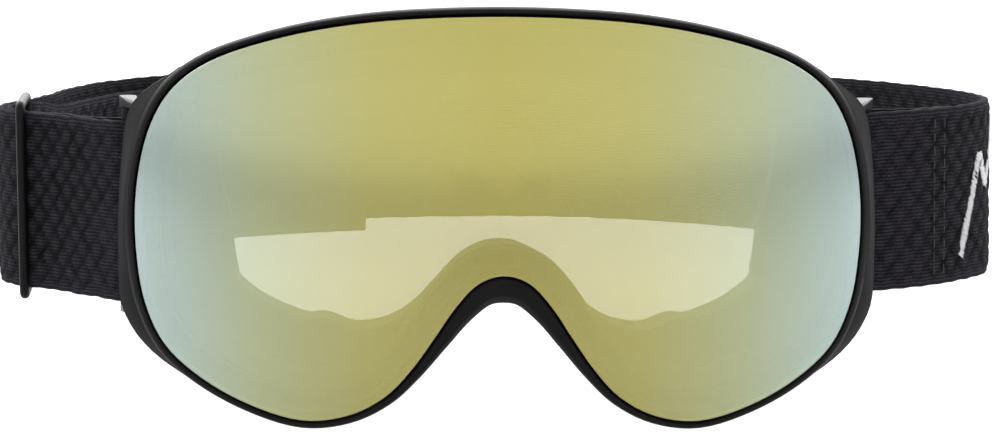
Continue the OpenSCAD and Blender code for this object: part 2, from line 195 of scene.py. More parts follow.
def sweepRing(places, corners=None, stations=None, closed=True):
    bm = bmesh.new()
    stations = stations if stations is not None else range(stationCount)
    loops = [startLoop(bm, places[0], stations, closed)]
    for place in places[1:] + [places[0]]:
        rows = extrudeLoop(bm, loops[-1], place)
        if not closed:  # the two short end edges aren't part of the row
            rows = [e for e in rows if abs(e.verts[0][bm.verts.layers.int["station"]]
                                           - e.verts[1][bm.verts.layers.int["station"]]) > 0]
        loops.append(rows)
    picked = []
    for k, size in (corners or {}).items():
        picked.append((loops[k], size))
    for rows, size in picked:
        live = [e for e in rows if e.is_valid]
        bmesh.ops.bevel(bm, geom=live, offset=size * mm, segments=3, profile=0.5,
                        affect="EDGES", material=-1, clamp_overlap=True)
    bmesh.ops.remove_doubles(bm, verts=bm.verts, dist=1e-7)
    if not closed:
        bmesh.ops.holes_fill(bm, edges=[e for e in bm.edges if e.is_boundary], sides=0)
    bmesh.ops.recalc_face_normals(bm, faces=bm.faces)
    return bm


def newMaterial(name):
    mat = bpy.data.materials.new(name)
    mat.use_nodes = True
    nodes = mat.node_tree.nodes
    shader = nodes["Principled BSDF"]
    return mat, nodes, mat.node_tree.links, shader


def noiseNode(nodes, links, coord, scale, detail=4.0, rough=0.55):
    n = nodes.new("ShaderNodeTexNoise")
    n.inputs["Scale"].default_value = scale
    n.inputs["Detail"].default_value = detail
    n.inputs["Roughness"].default_value = rough
    links.new(coord, n.inputs["Vector"])
    return n


def rampNode(nodes, links, value, stops):
    r = nodes.new("ShaderNodeValToRGB")
    while len(r.color_ramp.elements) < len(stops):
        r.color_ramp.elements.new(0.5)
    for el, (pos, col) in zip(r.color_ramp.elements, stops):
        el.position = pos
        el.color = (*col, 1) if len(col) == 3 else col
    links.new(value, r.inputs["Fac"])
    return r


def bumpFrom(nodes, links, height, strength, distance, shader, after=None):
    b = nodes.new("ShaderNodeBump")
    b.inputs["Strength"].default_value = strength
    b.inputs["Distance"].default_value = distance
    links.new(height, b.inputs["Height"])
    if after:
        links.new(after.outputs["Normal"], b.inputs["Normal"])
    links.new(b.outputs["Normal"], shader.inputs["Normal"])
    return b


def grey(v):
    return (v, v, v)


def mouldedRubber(name, base, rough, grain=0.12, gloss=0.3):
    mat, nodes, links, shader = newMaterial(name)
    coord = nodes.new("ShaderNodeTexCoord").outputs["Object"]
    cloud = noiseNode(nodes, links, coord, 60, 3)
    tint = rampNode(nodes, links, cloud.outputs["Fac"],
                    [(0.35, tuple(c * 0.85 for c in base)), (0.7, tuple(c * 1.2 for c in base))])
    links.new(tint.outputs["Color"], shader.inputs["Base Color"])
    worn = rampNode(nodes, links, noiseNode(nodes, links, coord, 22, 5).outputs["Fac"],
                    [(0.3, grey(rough - 0.05)), (0.75, grey(rough + 0.08))])
    links.new(worn.outputs["Color"], shader.inputs["Roughness"])
    fine = noiseNode(nodes, links, coord, 2600, 2)
    bumpFrom(nodes, links, fine.outputs["Fac"], grain, 0.00008, shader)
    shader.inputs["Specular IOR Level"].default_value = gloss
    return mat


def foamMaterial(name, base, cell, depth):
    mat, nodes, links, shader = newMaterial(name)
    coord = nodes.new("ShaderNodeTexCoord").outputs["Object"]
    cells = nodes.new("ShaderNodeTexVoronoi")
    cells.inputs["Scale"].default_value = cell
    links.new(coord, cells.inputs["Vector"])
    tint = rampNode(nodes, links, cells.outputs["Distance"],
                    [(0.0, tuple(c * 0.5 for c in base)), (0.6, tuple(c * 1.3 for c in base))])
    links.new(tint.outputs["Color"], shader.inputs["Base Color"])
    shader.inputs["Roughness"].default_value = 0.95
    shader.inputs["Sheen Weight"].default_value = 0.08
    shader.inputs["Sheen Roughness"].default_value = 0.5
    shader.inputs["Specular IOR Level"].default_value = 0.15
    bumpFrom(nodes, links, cells.outputs["Distance"], 0.6, depth, shader)
    return mat


rubberMat = mouldedRubber("satinRubber", (0.0105, 0.0098, 0.0095), 0.48, gloss=0.12)
wingMat = mouldedRubber("wingNylon", (0.0068, 0.0064, 0.0074), 0.34, gloss=0.3)
carrierMat = mouldedRubber("carrierNylon", (0.006, 0.006, 0.0064), 0.5, gloss=0.2)
ringMat = mouldedRubber("ringNylon", (0.006, 0.0058, 0.0066), 0.38, gloss=0.2)
foamMat = foamMaterial("faceFoam", (0.022, 0.022, 0.023), 1400, 0.0003)
softFoamMat = foamMaterial("softFoam", (0.034, 0.034, 0.036), 1800, 0.0003)
ventFoamMat = foamMaterial("ventFoam", (0.016, 0.016, 0.016), 900, 0.0006)
print("goggles: plastics and foams ready")


def fleeceMaterial():
    mat, nodes, links, shader = newMaterial("blackFleece")
    coord = nodes.new("ShaderNodeTexCoord").outputs["Object"]
    tufts = noiseNode(nodes, links, coord, 900, 6, 0.7)
    tint = rampNode(nodes, links, tufts.outputs["Fac"],
                    [(0.3, (0.008, 0.008, 0.009)), (0.72, (0.05, 0.05, 0.054))])
    links.new(tint.outputs["Color"], shader.inputs["Base Color"])
    shader.inputs["Roughness"].default_value = 1.0
    shader.inputs["Sheen Weight"].default_value = 0.2
    shader.inputs["Sheen Roughness"].default_value = 0.4
    shader.inputs["Specular IOR Level"].default_value = 0.1
    bumpFrom(nodes, links, tufts.outputs["Fac"], 0.9, 0.0006, shader)
    return mat


fleeceMat = fleeceMaterial()


def magnetMaterial():
    mat, nodes, links, shader = newMaterial("nickel")
    coord = nodes.new("ShaderNodeTexCoord").outputs["Object"]
    scuff = noiseNode(nodes, links, coord, 800, 4)
    tint = rampNode(nodes, links, scuff.outputs["Fac"],
                    [(0.3, (0.42, 0.42, 0.43)), (0.7, (0.62, 0.62, 0.63))])
    links.new(tint.outputs["Color"], shader.inputs["Base Color"])
    shader.inputs["Metallic"].default_value = 1.0
    shader.inputs["Roughness"].default_value = 0.28
    return mat


magnetMat = magnetMaterial()


def mirrorMaterial():
    mat, nodes, links, shader = newMaterial("goldMirror")
    coord = nodes.new("ShaderNodeTexCoord").outputs["Object"]
    split = nodes.new("ShaderNodeSeparateXYZ")
    links.new(coord, split.inputs["Vector"])
    away = nodes.new("ShaderNodeMath")
    away.operation = "ABSOLUTE"
    links.new(split.outputs["X"], away.inputs[0])
    wide = nodes.new("ShaderNodeMath")
    wide.operation = "MULTIPLY"
    wide.inputs[1].default_value = 1 / 0.088
    links.new(away.outputs[0], wide.inputs[0])
    ripple = noiseNode(nodes, links, coord, 9, 2)
    drift = nodes.new("ShaderNodeMath")
    drift.operation = "MULTIPLY_ADD"
    drift.inputs[1].default_value = 0.05
    drift.inputs[2].default_value = -0.025
    links.new(ripple.outputs["Fac"], drift.inputs[0])
    place = nodes.new("ShaderNodeMath")
    place.operation = "ADD"
    links.new(wide.outputs[0], place.inputs[0])
    links.new(drift.outputs[0], place.inputs[1])
    tint = rampNode(nodes, links, place.outputs[0], [
        (0.0, (0.85, 0.775, 0.25)), (0.35, (0.86, 0.81, 0.31)), (0.62, (0.83, 0.88, 0.53)),
        (0.82, (0.79, 0.93, 0.81)), (1.0, (0.76, 0.94, 0.96)),
    ])
    links.new(tint.outputs["Color"], shader.inputs["Base Color"])
    shader.inputs["Metallic"].default_value = 1.0
    shader.inputs["Roughness"].default_value = 0.2
    shader.inputs["Alpha"].default_value = 0.57
    return mat


mirrorMat = mirrorMaterial()


def clearMaterial():
    mat, nodes, links, shader = newMaterial("clearInner")
    coord = nodes.new("ShaderNodeTexCoord").outputs["Object"]
    haze = noiseNode(nodes, links, coord, 40, 3)
    tint = rampNode(nodes, links, haze.outputs["Fac"],
                    [(0.3, (0.82, 0.84, 0.8)), (0.7, (0.9, 0.9, 0.86))])
    links.new(tint.outputs["Color"], shader.inputs["Base Color"])
    shader.inputs["Roughness"].default_value = 0.08
    shader.inputs["Alpha"].default_value = 0.07
    return mat


clearMat = clearMaterial()
print("goggles: lens coatings ready")


def makeFrame():
    s = goggle
    sh, st = s["shelf"], s["shelfThick"]

    def width(i):
        return rimWidth(edge[i])

    def share(i):
        return noseShare(edge[i])

    def yb(i):
        return backY(edge[i])

    places = [
        lambda i: atDepth(i, 0.5, sh),
        lambda i: atDepth(i, 0.5, 1.0),
        lambda i: atDepth(i, 0.9, 0.2),
        lambda i: atDepth(i, width(i) * 0.7, 0.1 + 1.2 * share(i)),
        lambda i: atDepth(i, width(i), 1.2 + 2.6 * share(i)),
        lambda i: atEdgeDepth(i, width(i) - 0.1, 5 + 0.6 * sideShare(edge[i])),
        lambda i: atEdgeDepth(i, width(i) - 0.4, sh + st - 0.2),
        lambda i: atY(i, backOuter(edge[i]), yb(i) - 1.6),
        lambda i: atY(i, backOuter(edge[i]) - 0.4, yb(i)),
        lambda i: atY(i, backInner(edge[i]), yb(i)),
        lambda i: atY(i, backInner(edge[i]), yb(i) - s["wall"]),
        lambda i: atY(i, backOuter(edge[i]) - s["wall"] - 0.3, yb(i) - s["wall"]),
        lambda i: atEdgeDepth(i, width(i) - 0.7 - s["wall"], sh + st + 0.2),
        lambda i: atDepth(i, s["shelfEdge"], sh + st),
        lambda i: atDepth(i, s["shelfEdge"], sh),
    ]
    corners = {1: 0.15, 2: 0.2, 3: 0.5, 4: 0.7, 6: 1.6, 7: 0.5, 9: 0.4, 10: 0.3, 13: 0.3, 14: 0.3}
    bm = sweepRing(places, corners)
    piece = finishMesh(bm, "frameShell", "goggle_frame", rubberMat, slot="frame_shell")
    return piece


def wallPoint(i, f, h):  # on the wall's inner face, a share f of the way back, h inward
    i = i % stationCount
    s = goggle
    a = atEdgeDepth(i, rimWidth(edge[i]) - 0.7 - s["wall"], s["shelf"] + s["shelfThick"] + 0.2)
    b = atY(i, backOuter(edge[i]) - s["wall"] - 0.3, backY(edge[i]) - s["wall"])
    q = a.lerp(b, f)
    return Vector((q.x - h * mm * outward[i].x, q.y, q.z - h * mm * outward[i].y))


ventSpec = {
    "slots": [-15, -10, -5, 0, 5, 10, 15, 70, 75, 80, -70, -75, -80],  # stations of the outline
    "size": (14.0, 5.4, 10.0),
}


def cutAway(shell, bm):  # takes the closed shapes in bm out of a shell
    bmesh.ops.recalc_face_normals(bm, faces=bm.faces)
    mesh = bpy.data.meshes.new("cutter")
    bm.to_mesh(mesh)
    bm.free()
    cutter = bpy.data.objects.new("cutter", mesh)
    scene.collection.objects.link(cutter)
    cut = shell.modifiers.new("cut", "BOOLEAN")
    cut.object = cutter
    cut.solver = "MANIFOLD"
    bpy.context.view_layer.update()
    made = bpy.data.meshes.new_from_object(shell.evaluated_get(bpy.context.evaluated_depsgraph_get()))
    shell.modifiers.remove(cut)
    old = shell.data
    shell.data = made
    bpy.data.meshes.remove(old)
    bpy.data.objects.remove(cutter)
    bpy.data.meshes.remove(mesh)
    shell.data.set_sharp_from_angle(angle=math.radians(40))


def ventShapes():
    bm = bmesh.new()
    for i in ventSpec["slots"]:
        n = outward[i % stationCount]
        turn = Matrix.Rotation(-math.atan2(n.y, n.x), 4, "Y")
        grow = Matrix.Diagonal((*(Vector(ventSpec["size"]) * mm), 1))
        bmesh.ops.create_cube(bm, size=1, matrix=Matrix.Translation(wallPoint(i, 0.5, 0)) @ turn @ grow)
    bmesh.ops.bevel(bm, geom=list(bm.edges), offset=1.1 * mm, segments=3, profile=0.5,
                    affect="EDGES", material=-1, clamp_overlap=True)
    return bm


magnetSpec = {
    "points": [1.5, 4.5, 14, -14, -4.5, -1.5],  # places along the outline's own points
    "offset": -4.2, "radius": 1.65,
}


def pocketShapes(depth, start, tall):
    bm = bmesh.new()
    for u in magnetSpec["points"]:
        t = (edgeAt(u + 0.25) - edgeAt(u - 0.25)).normalized()
        q = edgeAt(u) + magnetSpec["offset"] * Vector((-t.y, t.x))
        at = Matrix.Translation(Vector((q.x, lensY(q) + depth, q.y)) * mm)
        turn = Matrix.Rotation(math.asin(q.x / goggle["radiusH"]), 4, "Z")
        tip = Matrix.Rotation(-math.pi / 2 - math.asin(q.y / goggle["radiusV"]), 4, "X")
        push = Matrix.Translation((0, 0, (start + tall / 2) * mm))
        bmesh.ops.create_cone(bm, cap_ends=True, segments=32, radius1=magnetSpec["radius"] * mm,
                              radius2=magnetSpec["radius"] * mm, depth=tall * mm,
                              matrix=at @ turn @ tip @ push)
    return bm


frameShell = makeFrame()
cutAway(frameShell, ventShapes())
cutAway(frameShell, pocketShapes(goggle["shelf"], -0.5, 1.4))
assert len(frameShell.data.polygons) > 5000, "the vents took the frame away"
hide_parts("frame")
print("goggles: frame shell", len(frameShell.data.polygons), "faces")


def makeLens(name, offset, depth, thick, mat, slot, rings=18, edgeRound=0.35):
    centre = Vector((0, 8))

    def place(share, back):
        def put(i):
            rim = edge[i] + offset * outward[i]
            q = centre + share * (rim - centre)
            return Vector((q.x, lensY(q) + depth + (thick if back else 0), q.y)) * mm
        return put

    shares = [0.03] + [(k / rings) ** 0.8 for k in range(1, rings + 1)]
    bm = bmesh.new()
    rows = startLoop(bm, place(shares[0], False), range(stationCount), True)
    first = [v for e in rows for v in e.verts]
    rimRows = []
    for share in shares[1:]:
        rows = extrudeLoop(bm, rows, place(share, False))
    rimRows += rows
    for share in reversed(shares):
        rows = extrudeLoop(bm, rows, place(share, True))
        if share == shares[-1]:
            rimRows += rows
    last = [v for e in rows for v in e.verts]
    bmesh.ops.bevel(bm, geom=rimRows, offset=edgeRound * mm, segments=3, profile=0.5,
                    affect="EDGES", material=-1, clamp_overlap=True)
    for verts, back in ((first, False), (last, True)):
        verts = list({v for v in verts if v.is_valid})
        y = lensY(centre) + depth + (thick if back else 0)
        bmesh.ops.pointmerge(bm, verts=verts, merge_co=Vector((centre.x, y, centre.y)) * mm)
    bmesh.ops.recalc_face_normals(bm, faces=bm.faces)
    return finishMesh(bm, name, "lens_unit", mat, slot=slot)


outerLens = makeLens("mirrorLens", 0, 0, 1.6, mirrorMat, "mirror_lens")
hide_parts("outer_lens")
innerLens = makeLens("clearLens", -2.2, 5.0, 1.0, clearMat, "clear_lens", edgeRound=0.2)
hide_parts("inner_lens")

carrierRing = finishMesh(sweepRing([
    lambda i: atDepth(i, -0.5, 1.8),
    lambda i: atDepth(i, -0.5, 7.6),
    lambda i: atDepth(i, -6.6, 7.6),
    lambda i: atDepth(i, -6.6, 6.2),
    lambda i: atDepth(i, -1.9, 6.2),
    lambda i: atDepth(i, -1.9, 1.8),
], {1: 0.3, 2: 0.3, 3: 0.3, 5: 0.15}), "carrierRing", "lens_unit", carrierMat, slot="carrier")
cutAway(carrierRing, pocketShapes(7.6, -0.95, 2.4))
assert len(carrierRing.data.polygons) > 1000, "the pockets took the carrier away"
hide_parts("lens_carrier")

spacerFoam = finishMesh(sweepRing([
    lambda i: atDepth(i, -2.4, 1.8),
    lambda i: atDepth(i, -2.4, 4.8),
    lambda i: atDepth(i, -6.2, 4.8),
    lambda i: atDepth(i, -6.2, 1.8),
], {2: 0.4, 3: 0.4}), "spacerFoam", "lens_unit", ventFoamMat, slot="vent_foam")
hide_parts("lens_spacer")
print("goggles: lens unit")


foamLayers = {
    "foamBase": {"node": "foam_base", "from": 0.2, "to": 9.28,
                 "draw": 0.0, "round": 1.2,
                 "mat": foamMat, "slot": "face_foam", "rough": 0.10},
    "foamMid": {"node": "foam_mid", "from": 9.48, "to": 14.6,
                "draw": 0.3, "round": 1.2,
                "mat": softFoamMat, "slot": "face_foam", "rough": 0.12},
    "foamFleece": {"node": "foam_fleece", "from": 14.8, "to": 16.0,
                   "draw": 0.7, "round": 0.6,
                   "mat": fleeceMat, "slot": "fleece", "rough": 0.16},
}


def makeFoam(name, spec):
    def side(i, inner, depth, extra=0.0):
        p = edge[i]
        if inner:
            o = backInner(p) + 0.5 + spec["draw"] + extra
        else:
            o = backOuter(p) - 0.6 - spec["draw"] - extra
        return atY(i, o, backY(p) + depth)

    a, b = spec["from"], spec["to"]
    mid = (a + b) / 2
    places = [
        lambda i: side(i, False, a),
        lambda i: side(i, False, mid, -0.25),
        lambda i: side(i, False, b),
        lambda i: side(i, True, b),
        lambda i: side(i, True, mid, -0.25),
        lambda i: side(i, True, a),
    ]
    bm = sweepRing(places, {2: spec["round"], 3: spec["round"], 5: 0.4})
    bmesh.ops.subdivide_edges(bm, edges=[e for e in bm.edges if e.calc_length() > 2.2 * mm], cuts=1,
                              use_grid_fill=True)
    bm.normal_update()
    for v in bm.verts:
        v.co += v.normal * noise.noise(v.co * 900) * spec["rough"] * mm
    piece = finishMesh(bm, name, "goggle_frame", spec["mat"], slot=spec["slot"])
    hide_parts(spec["node"])
    return piece


for layerName, layerSpec in foamLayers.items():
    makeFoam(layerName, layerSpec)
print("goggles: face foam")

ventPads = {
    "ventPadTop": {"node": "vent_foam_top", "from": -17, "to": 17},
    "ventPadLeft": {"node": "vent_foam_left", "from": 68, "to": 82},
    "ventPadRight": {"node": "vent_foam_right", "from": -82, "to": -68},
}


def makeVentPad(name, spec):
    stations = [i % stationCount for i in range(spec["from"], spec["to"] + 1)]
    places = [
        lambda i: wallPoint(i, 0.12, 0.15),
        lambda i: wallPoint(i, 0.5, 0.1),
        lambda i: wallPoint(i, 0.88, 0.15),
        lambda i: wallPoint(i, 0.88, 2.55),
        lambda i: wallPoint(i, 0.5, 2.7),
        lambda i: wallPoint(i, 0.12, 2.55),
    ]
    bm = sweepRing(places, {}, stations, closed=False)
    bmesh.ops.subdivide_edges(bm, edges=[e for e in bm.edges if e.calc_length() > 1.6 * mm], cuts=1,
                              use_grid_fill=True)
    bm.normal_update()
    for v in bm.verts:
        v.co += v.normal * noise.noise(v.co * 800) * 0.1 * mm
    piece = finishMesh(bm, name, "goggle_frame", ventFoamMat, slot="vent_foam")
    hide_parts(spec["node"])
    return piece


for padName, padSpec in ventPads.items():
    makeVentPad(padName, padSpec)
print("goggles: vent foams")

for nodeName in ("frame_magnets", "carrier_magnets"):
    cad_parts[nodeName].data.materials.clear()
    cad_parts[nodeName].data.materials.append(magnetMat)

wingSpec = {
    "first": 11,           # half points of the outline where the wing starts
    "reach": [2.4, 2.8, 4.4, 6, 5.8, 5.1, 4.6, 4.4, 4.5, 4.8, 5.5, 6.3, 5.7, 4.4, 3.1, 2.4],
    "y": [-14, -9.5, -4.5, -1, 0.3, 0.7, 0.8, 0.8, 0.8, 0.8, 0.7, 0, -2, -5, -9.5, -14],
    "thick": 2.0, "sink": 0.3, "past": 0.1,
    "bar": (87.2, 10.2), "barRadius": 1.5, "top": 24.6, "bottom": -24.1,
    "topRoot": (84.1, -0.5, 24.2), "bottomRoot": (85.3, -0.5, -23.9),
}


def alongWing(values, i):
    u = i / goggle["perPoint"] * 2 - wingSpec["first"]
    u = min(max(u, 0), len(values) - 1.001)
    k = int(u)
    a, b, c, d = (values[min(max(k + j, 0), len(values) - 1)] for j in (-1, 0, 1, 2))
    return spline(a, b, c, d, u - k)


def makeArm(boss, root):
    bm = bmesh.new()
    bmesh.ops.create_cone(bm, cap_ends=True, segments=24, radius1=2 * mm, radius2=2 * mm,
                          depth=2.6 * mm, matrix=Matrix.Translation(boss))
    bmesh.ops.create_icosphere(bm, subdivisions=2, radius=1.0 * mm, matrix=Matrix.Translation(root))
    bmesh.ops.delete(bm, geom=list(bm.faces) + list(bm.edges), context="EDGES_FACES")
    hull = bmesh.ops.convex_hull(bm, input=list(bm.verts))
    spare = {g for g in hull["geom_interior"] + hull["geom_unused"] if isinstance(g, bmesh.types.BMVert)}
    bmesh.ops.delete(bm, geom=list(spare), context="VERTS")
    mesh = bpy.data.meshes.new("arm")
    bm.to_mesh(mesh)
    bm.free()
    return mesh


def makeWing(side):
    w = wingSpec
    firstStation = math.ceil(w["first"] * goggle["perPoint"] / 2)
    lastStation = math.floor((w["first"] + len(w["reach"]) - 1) * goggle["perPoint"] / 2)

    def outer(i, inset, back):
        reach = max(alongWing(w["reach"], i), rimWidth(edge[i]) + w["past"])
        return atY(i, reach - inset, alongWing(w["y"], i) + back)

    def seat(i):  # sunk a little into the wall, so that no light shows between
        return atEdgeDepth(i, rimWidth(edge[i]) - w["sink"], 5 + 0.6 * sideShare(edge[i]))

    places = [
        seat,
        lambda i: seat(i).lerp(outer(i, 0.6, 0), 0.5) + Vector((0, -0.25 * mm, 0)),
        lambda i: outer(i, 0.6, 0.0),
        lambda i: outer(i, 0.0, 0.6),
        lambda i: outer(i, 0.0, w["thick"] - 0.6),
        lambda i: outer(i, 0.6, w["thick"]),
        lambda i: atEdgeDepth(i, rimWidth(edge[i]) - 0.3 - w["sink"],
                              goggle["shelf"] + goggle["shelfThick"] - 0.2),
    ]
    bm = sweepRing(places, {}, range(firstStation, lastStation + 1), closed=False)
    bx, by = w["bar"]
    bar = bmesh.ops.create_cone(bm, cap_ends=True, segments=28, radius1=w["barRadius"] * mm,
                                radius2=w["barRadius"] * mm, depth=(w["top"] - w["bottom"]) * mm)["verts"]
    bmesh.ops.translate(bm, verts=bar, vec=Vector((bx, by, (w["top"] + w["bottom"]) / 2)) * mm)
    for z, root in ((w["top"], w["topRoot"]), (w["bottom"], w["bottomRoot"])):
        arm = makeArm(Vector((bx, by, z)) * mm, Vector(root) * mm)
        bm.from_mesh(arm)
        bpy.data.meshes.remove(arm)
    if side < 0:
        bmesh.ops.scale(bm, verts=bm.verts, vec=(-1, 1, 1))
    bmesh.ops.recalc_face_normals(bm, faces=bm.faces)
    name = "wingLeft" if side > 0 else "wingRight"
    piece = finishMesh(bm, name, "goggle_frame", wingMat, slot="frame_shell", sharp=38)
    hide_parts("outrigger_left" if side > 0 else "outrigger_right")
    return piece


for side in (1, -1):
    makeWing(side)
print("goggles: outriggers")

strapSpec = {
    "width": 42.5, "thick": 1.7, "barX": 87.2, "barY": 10.2, "loop": 3.9, "angle": 49.5,
    "bend": (-96.8, 50.0), "outer": 24.0, "inner": 22.0, "front": -56.0, "back": 38.0,
    "rise": 0.2, "lean": 0.85, "drop": 3.0, "cell": 0.93,
    "diamond": (5.6, 6.6), "puff": 0.8,
}


def around(c, r, a):
    a = math.radians(a)
    return Vector((c[0] + r * math.cos(a), c[1] + r * math.sin(a)))


def onBend(r, a):
    a = math.radians(a)
    c = strapSpec["bend"]
    return Vector((c[0] - r * math.cos(a), c[1] + r * math.sin(a)))


def smoothLine(pts, n):
    pts = [Vector(p) for p in pts]
    m = len(pts)
    out = []
    for k in range(m - 1):
        for j in range(n):
            out.append(spline(pts[max(k - 1, 0)], pts[k], pts[k + 1], pts[min(k + 2, m - 1)], j / n))
    return out


def strapLine():
    s = strapSpec
    right, left = (s["barX"], s["barY"]), (-s["barX"], s["barY"])
    a = s["angle"]
    n = 8
    sewn = [(108.8, 22.2), (105.6, 19.4), (101.9, 17.5), (96.8, 16.4), (91.8, 15.7),
            around(right, s["loop"], 180 - a)]
    free = [around(right, s["loop"], -a),
            (99.5, 12.4), (107.2, 18.2), (114, 25.2), (119.6, 34), (121.8, 44), (120.4, 55.5),
            (116.6, 67), (110, 80.5), (100.5, 95), (88, 110.5), (70, 129.5), (48, 146.5),
            (24, 158), (0, 162), (-24, 161), (-48, 155.5), (-70, 146), (-86, 135), (-97.5, 122),
            (-104.5, 108), (-108.6, 94), (-111.4, 80), onBend(s["outer"], s["back"])]
    leftFront = [onBend(s["outer"], s["front"]), (-105.4, 25.6), (-98.4, 17.4),
                 around(left, s["loop"], 180 + a)]
    leftBack = [around(left, s["loop"], a), (-91.2, 15.6), (-97, 20.2), (-104, 27.6),
                onBend(s["inner"], s["front"])]
    tail = [onBend(s["inner"], s["back"]), (-109.2, 80.6), (-105.2, 93.4), (-101, 106.4),
            (-94.4, 119.6), (-83.8, 132.2), (-68.6, 143.4), (-47.2, 153), (-32, 156.8)]
    line = smoothLine(sewn, n)
    line += [around(right, s["loop"], 180 - a + 6 * k) for k in range(30)]
    freeFrom = len(line)
    line += smoothLine(free, n)
    line += [onBend(s["outer"], s["back"] - 2 * k) for k in range(47)]
    line += smoothLine(leftFront, n)
    slideBarFrom = len(line)
    line += [around(left, s["loop"], 180 + a + 6 * k) for k in range(30)]
    line += smoothLine(leftBack, n)
    line += [onBend(s["inner"], s["front"] + 2 * k) for k in range(47)]
    tailFrom = len(line)
    line += smoothLine(tail, n) + [Vector(tail[-1])]
    return line, freeFrom, tailFrom, slideBarFrom


linePts, freeFrom, tailFrom, slideBarFrom = strapLine()
lineReach = [0.0]
for a, b in zip(linePts, linePts[1:]):
    lineReach.append(lineReach[-1] + (b - a).length)
lineNormals = []
for k in range(len(linePts)):
    d = (linePts[min(k + 1, len(linePts) - 1)] - linePts[max(k - 1, 0)]).normalized()
    lineNormals.append(Vector((d.y, -d.x)))
strapLength = lineReach[-1]
freeStart = lineReach[freeFrom]
slideBarAt = lineReach[slideBarFrom + 15]
tailStart = lineReach[tailFrom]
leanTurn = Matrix.Rotation(math.radians(-strapSpec["lean"]), 3, "Y")


def bendStrap(s, n, z):
    s = min(max(s, 0.0), strapLength - 1e-6)
    lo, hi = 0, len(lineReach) - 1
    while hi - lo > 1:
        m = (lo + hi) // 2
        if lineReach[m] <= s:
            lo = m
        else:
            hi = m
    t = (s - lineReach[lo]) / max(1e-9, lineReach[lo + 1] - lineReach[lo])
    p = linePts[lo].lerp(linePts[lo + 1], t)
    q = lineNormals[lo].lerp(lineNormals[lo + 1], t).normalized()
    drop = strapSpec["drop"] * blend01(tailStart - 6, tailStart + 24, s)
    at = Vector((p.x + q.x * n, p.y + q.y * n, z - drop))
    at = leanTurn @ at
    at.z += strapSpec["rise"]
    return at * mm


def quiltRelief(s, z):  # 0 in the sewn grooves, 1 on top of a diamond
    u = s / strapSpec["diamond"][0] + z / strapSpec["diamond"][1]
    v = s / strapSpec["diamond"][0] - z / strapSpec["diamond"][1]
    return abs(math.sin(math.pi * u) * math.sin(math.pi * v)) ** 0.42


def makeStrap():
    s = strapSpec
    nS = int(strapLength / s["cell"])
    nZ = int(s["width"] / s["cell"])
    bm = bmesh.new()
    uv = bm.loops.layers.uv.new("weave")
    bmesh.ops.create_grid(bm, x_segments=nS, y_segments=nZ, size=0.5)
    for v in bm.verts:
        v.co = Vector(((v.co.x + 0.5) * strapLength, v.co.y * s["width"], s["thick"] / 2))
    made = bmesh.ops.extrude_face_region(bm, geom=list(bm.faces))["geom"]
    for v in made:
        if isinstance(v, bmesh.types.BMVert):
            v.co.z = -s["thick"] / 2
    bm.edges.ensure_lookup_table()
    border = [e for e in bm.edges if abs(abs(e.verts[0].co.y) - s["width"] / 2) < 1e-4
              and abs(abs(e.verts[1].co.y) - s["width"] / 2) < 1e-4
              and abs(e.verts[0].co.z - e.verts[1].co.z) < 1e-4]
    bmesh.ops.bevel(bm, geom=border, offset=0.55, segments=2, profile=0.5, affect="EDGES",
                    material=-1, clamp_overlap=True)
    for f in bm.faces:
        for loop in f.loops:
            c = loop.vert.co
            loop[uv].uv = (c.x * 0.01, c.y * 0.01 + (0.5 if c.z < 0 else 0))
    half = s["width"] / 2
    # painted shade and painted highlight: a per-vertex value, low in the sewn grooves and high on the
    # puffed diamond tops, later darkens and brightens the strap's colour
    quiltShadeLayer = bm.verts.layers.float.new("quiltPaintedShade")
    for v in bm.verts:
        c = v.co
        rim = blend01(half - 0.4, half - 2.6, abs(c.y))
        calm = 0.6 + 0.4 * blend01(8, 26, abs(c.x - freeStart)) * blend01(6, 22, abs(c.x - slideBarAt))
        relief = quiltRelief(c.x, c.y + 0.35 * noise.noise(Vector((c.x, c.y, 0)) * 0.12))
        uneven = 0.8 + 0.4 * noise.noise(Vector((c.x, c.y, 2)) * 0.22)
        v[quiltShadeLayer] = 1 - rim * calm * (1 - relief) * uneven
        if c.z > 0.2:
            lift = s["puff"] * rim * calm * relief * uneven
            n = c.z + lift - 0.15 * rim + 0.05 * noise.noise(Vector((c.x, c.y, 0)) * 1.1)
        else:
            n = c.z + 0.05 * noise.noise(Vector((c.x, c.y, 5)) * 0.8)
        ripple = 0.22 * noise.noise(Vector((c.x * 0.16, 3.0, 0))) + 0.08 * math.sin(c.x * 1.12)
        v.co = bendStrap(c.x, n, c.y + ripple * (1 if c.y > 0 else -1) * abs(c.y) / half)
    bmesh.ops.recalc_face_normals(bm, faces=bm.faces)
    return bm


